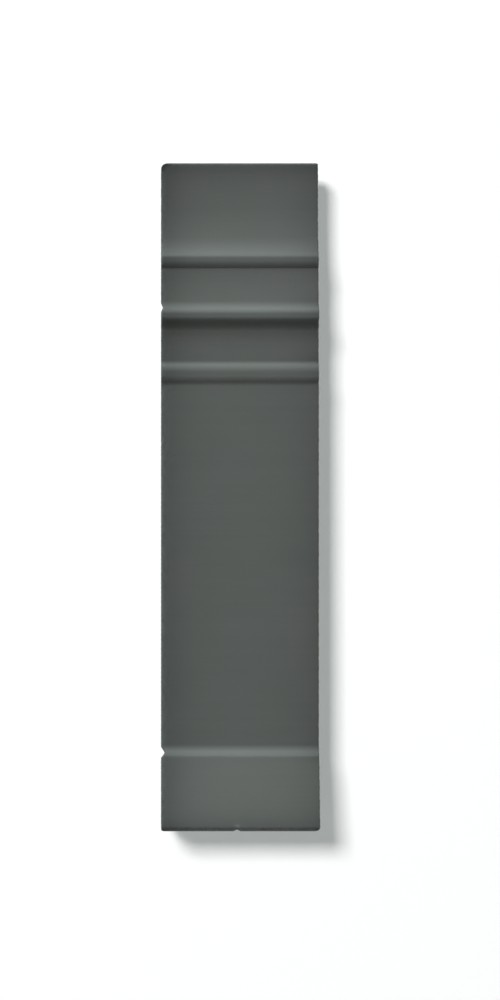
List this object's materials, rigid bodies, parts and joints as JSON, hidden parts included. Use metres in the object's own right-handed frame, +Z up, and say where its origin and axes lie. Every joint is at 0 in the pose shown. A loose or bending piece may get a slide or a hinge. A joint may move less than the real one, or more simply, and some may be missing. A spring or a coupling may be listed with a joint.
{
  "type": "vinyl wall base",
  "caption": "Short cut sample of a profiled vinyl wall base with stepped mouldings, a flat panel and a thick toe under a sloping ledge.",
  "frame": {"origin": "the line where the wall meets the floor, at the sample's mid-length", "axes": "+X along the wall, to the right for someone who faces it; +Y into the wall, so the moulded face looks along -Y; +Z up from the floor"},
  "size_m": [0.0362, 0.0095, 0.1524],
  "materials": {
    "vinyl": "satin, dark grey-green extruded vinyl, solid colour"
  },
  "bodies": {
    "root": {"wall_base": "vinyl"}
  },
  "joints": []
}
